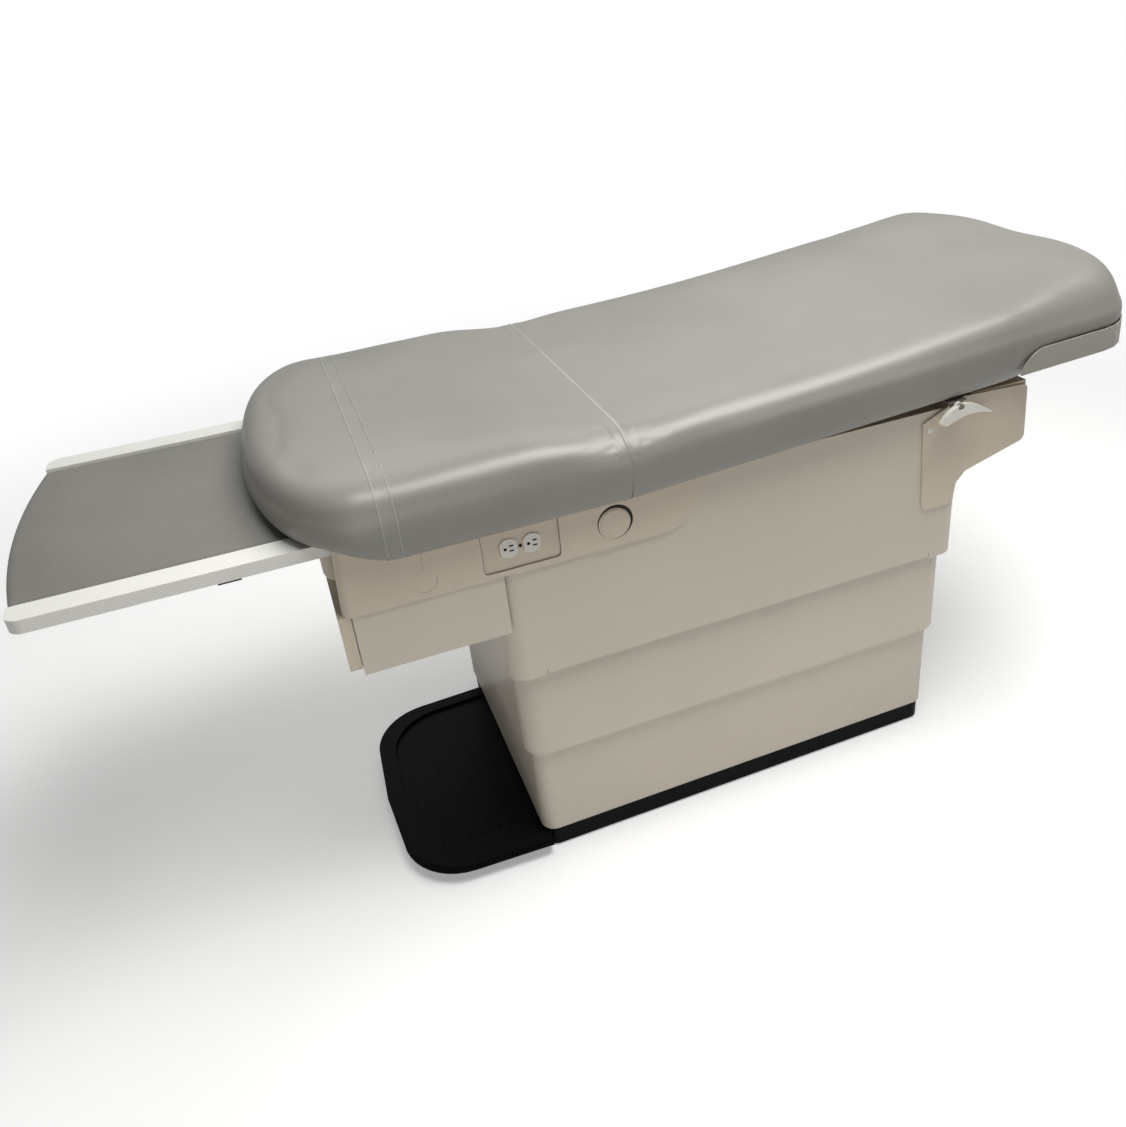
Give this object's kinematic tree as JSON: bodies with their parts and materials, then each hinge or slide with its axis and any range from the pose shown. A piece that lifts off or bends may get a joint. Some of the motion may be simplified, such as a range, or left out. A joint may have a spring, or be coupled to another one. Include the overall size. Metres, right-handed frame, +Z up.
{
  "type": "examination table",
  "caption": "Powered examination table on a telescoping shrouded base, with a padded top, hinged backrest, pull-out foot rest, drawer and stirrups.",
  "frame": {"origin": "on the floor below the centre of the shrouded body, under the base's middle pad", "axes": "+X along the table to the head end, -Y to the side with the socket outlets, +Z up"},
  "size_m": [2.029, 0.714, 0.9548],
  "materials": {
    "vinyl": "satin",
    "shroud_paint": "satin",
    "cream_plastic": "satin",
    "white_metal": "satin",
    "black_plastic": "matte",
    "black_metal": "satin",
    "dark_steel": "satin",
    "column_steel": "satin",
    "steel": "brushed",
    "chromed": "polished",
    "rubber": "matte",
    "plywood": "matte",
    "clear_band": "polished",
    "glide_plastic": "matte",
    "cast_motor": "matte"
  },
  "bodies": {
    "base": {"base_frame": "black_metal", "levelling_feet": "rubber", "base_skirt": "black_plastic", "foot_platform": "black_plastic", "shroud_lower_near": "shroud_paint", "shroud_lower_far": "shroud_paint", "power_inlet": "black_plastic", "column_lower": "column_steel", "lift_motor": "cast_motor", "seam_screws_lower": "steel"},
    "middle_stage": {"shroud_mid_near": "shroud_paint", "shroud_mid_far": "shroud_paint", "column_mid": "column_steel", "column_glides_mid": "glide_plastic", "mid_hangers": "dark_steel", "seam_screws_mid": "steel"},
    "top": {"shroud_upper_near": "shroud_paint", "shroud_upper_far": "shroud_paint", "column_upper": "column_steel", "column_glides_upper": "glide_plastic", "top_frame": "dark_steel", "head_cover": "cream_plastic", "rest_bumpers": "rubber", "side_panel_near": "cream_plastic", "side_panel_far": "cream_plastic", "outlet_plate": "cream_plastic", "duplex_outlet": "cream_plastic", "blanking_plug": "cream_plastic", "seam_screws_upper": "steel", "drawer_housing": "shroud_paint", "bay_dividers": "dark_steel", "stirrup_sleeves": "dark_steel", "extension_guides": "steel", "seat_board": "plywood", "seat_cushion": "vinyl", "paper_strap": "clear_band", "hinge_bar": "dark_steel", "gas_bracket": "dark_steel"},
    "cap": {"push_cap": "cream_plastic"},
    "drawer": {"drawer_box": "white_metal", "drawer_front": "cream_plastic"},
    "pan": {"treatment_pan": "steel"},
    "stirrup_near_arm": {"stirrup_near": "steel"},
    "stirrup_far_arm": {"stirrup_far": "steel"},
    "foot_extension": {"extension_rails": "white_metal", "extension_tray": "white_metal", "extension_pad": "vinyl", "extension_stops": "black_plastic"},
    "backrest": {"back_board": "plywood", "back_frame": "dark_steel", "back_cushion": "vinyl", "hinge_pins": "steel", "paper_pan": "cream_plastic", "paper_rod": "chromed", "lever_brackets": "dark_steel"},
    "gas_spring_tube": {"gas_cylinder": "black_metal"},
    "gas_spring_rod": {"gas_rod": "chromed"},
    "lever_near": {"release_lever_near": "cream_plastic"},
    "lever_far": {"release_lever_far": "cream_plastic"}
  },
  "joints": [
    {"name": "lift", "type": "slide", "parent": "base", "child": "top", "axis": [0, 0, 1], "range_m": [-0.39, 0.067]},
    {"name": "lift_middle", "type": "slide", "parent": "base", "child": "middle_stage", "axis": [0, 0, 1], "range_m": [-0.195, 0.0335]},
    {"name": "back_recline", "type": "hinge", "parent": "top", "child": "backrest", "pos_m": [-0.208, 0, 0.846], "axis": [0, -1, 0], "range_deg": [0, 80]},
    {"name": "gas_spring_swing", "type": "hinge", "parent": "top", "child": "gas_spring_tube", "pos_m": [-0.168, 0.09, 0.55503], "axis": [0, -1, 0], "range_deg": [0, 4]},
    {"name": "gas_spring_stroke", "type": "slide", "parent": "gas_spring_tube", "child": "gas_spring_rod", "axis": [0.2051, 0, 0.9787], "range_m": [0, 0.1498]},
    {"name": "extension_slide", "type": "slide", "parent": "top", "child": "foot_extension", "axis": [1, 0, 0], "range_m": [0, 0.34]},
    {"name": "drawer_slide", "type": "slide", "parent": "top", "child": "drawer", "axis": [-1, 0, 0], "range_m": [0, 0.18]},
    {"name": "pan_slide", "type": "slide", "parent": "top", "child": "pan", "axis": [-1, 0, 0], "range_m": [0, 0.18]},
    {"name": "stirrup_near_slide", "type": "slide", "parent": "top", "child": "stirrup_near_arm", "axis": [-1, 0, 0], "range_m": [0, 0.36]},
    {"name": "stirrup_far_slide", "type": "slide", "parent": "top", "child": "stirrup_far_arm", "axis": [-1, 0, 0], "range_m": [0, 0.36]},
    {"name": "cap_press", "type": "slide", "parent": "top", "child": "cap", "axis": [0, 1, 0], "range_m": [0, 0.003], "stiffness_N_per_m": 600, "springref_m": -0.002},
    {"name": "release_near", "type": "hinge", "parent": "backrest", "child": "lever_near", "pos_m": [0.403, -0.347, 0.76511], "axis": [0, -1, 0], "range_deg": [0, 14], "stiffness_Nm_per_rad": 0.6, "springref_deg": -20.05},
    {"name": "release_far", "type": "hinge", "parent": "backrest", "child": "lever_far", "pos_m": [0.403, 0.347, 0.76511], "axis": [0, -1, 0], "range_deg": [0, 14], "stiffness_Nm_per_rad": 0.6, "springref_deg": -20.05}
  ],
  "couplings": [
    {"joint": "lift_middle", "follows": "lift", "ratio": 0.5},
    {"joint": "gas_spring_swing", "follows": "back_recline", "ratio": 0.04055},
    {"joint": "gas_spring_stroke", "follows": "back_recline", "m_per_rad": 0.10682}
  ]
}
